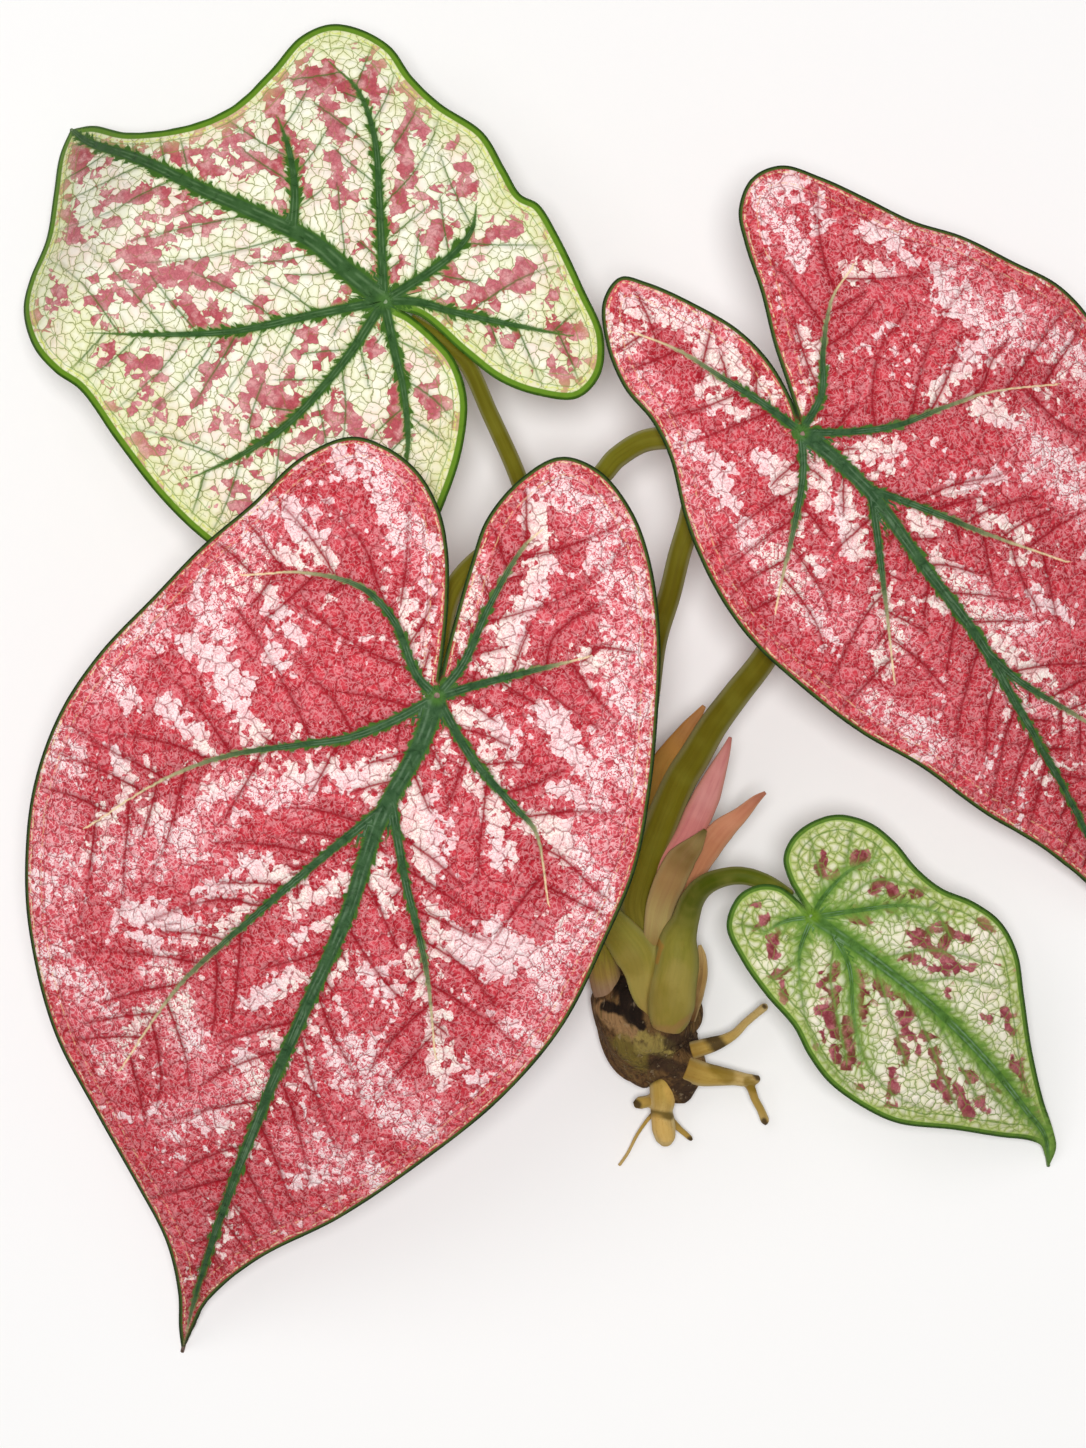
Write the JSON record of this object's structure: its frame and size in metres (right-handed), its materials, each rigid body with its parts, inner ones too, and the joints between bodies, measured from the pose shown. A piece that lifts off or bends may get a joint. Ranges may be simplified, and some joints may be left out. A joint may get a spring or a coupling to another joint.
{
  "type": "caladium plant",
  "caption": "Bare-rooted caladium lying on its side: knobbly tuber with roots, arching leaf stalks and large heart-shaped blades in pink, cream and green.",
  "frame": {"origin": "middle of the flat spot on the underside of the tuber, on the surface that the plant lies on", "axes": "+Z up from the surface, +Y from the tuber along the leaf stalks, +X to the right seen from above with +Y up"},
  "size_m": [0.2599, 0.3042, 0.0957],
  "materials": {
    "blade_red": "satin leaf, red-pink with pale blotches and green veins",
    "blade_cream": "satin leaf, cream with mauve blotches, green veins and a green edge",
    "blade_green": "satin leaf, green and cream with mauve marks",
    "stalk": "smooth waxy olive-green stalk",
    "sheath": "thin brown sheath",
    "cataphyll": "smooth greenish scale leaf",
    "spear_pink": "smooth pink rolled leaf",
    "spear_salmon": "smooth salmon rolled leaf",
    "tuber": "rough brown skin",
    "root": "matte tan root"
  },
  "bodies": {
    "root": {"tuber": "tuber", "stump": "cataphyll", "root_1": "root", "root_2": "root", "root_3": "root", "petiole_a": "stalk", "petiole_b": "stalk", "petiole_c": "stalk", "petiole_d": "stalk", "cataphyll": "cataphyll", "spear_pink": "spear_pink", "spear_salmon": "spear_salmon", "sheath_c": "sheath", "dry_strip": "sheath", "blade_a": "blade_cream", "blade_b": "blade_red", "blade_c": "blade_red", "blade_d": "blade_green"}
  },
  "joints": []
}
